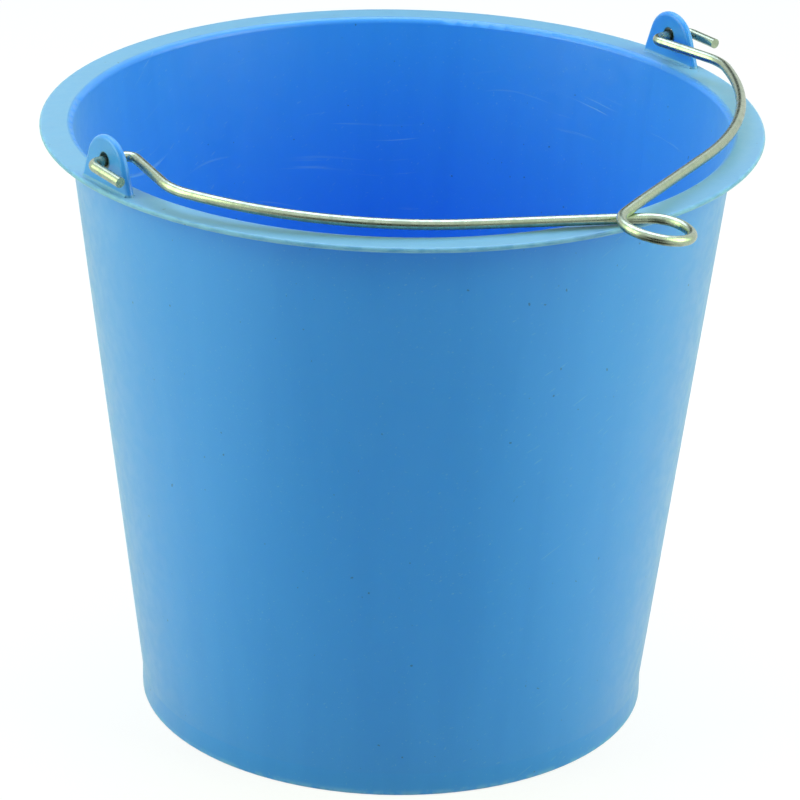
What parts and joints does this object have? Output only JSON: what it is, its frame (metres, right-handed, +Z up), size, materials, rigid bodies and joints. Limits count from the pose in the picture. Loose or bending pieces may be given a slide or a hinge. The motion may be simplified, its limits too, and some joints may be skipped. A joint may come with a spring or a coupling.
{
  "type": "feed bucket",
  "caption": "Round tapered plastic feed bucket with moulded rim ears and a hinged wire bail that is bent into an open hand loop.",
  "frame": {"origin": "middle of the foot ring, on the plane that the bucket stands on", "axes": "+Z up, X through the two ears and along the bail's hinge axis, the bail lies on the rim towards -Y"},
  "size_m": [0.3318, 0.3521, 0.2984],
  "materials": {
    "bucket_plastic": "semi-gloss blue polyethylene, slightly translucent",
    "bail_wire": "zinc-plated drawn wire"
  },
  "bodies": {
    "bucket": {"bucket": "bucket_plastic"},
    "bail": {"bail": "bail_wire"}
  },
  "joints": [
    {"name": "bail_swing", "type": "hinge", "parent": "bucket", "child": "bail", "pos_m": [0, 0, 0.2875], "axis": [-1, 0, 0], "range_deg": [0, 175.5]}
  ]
}
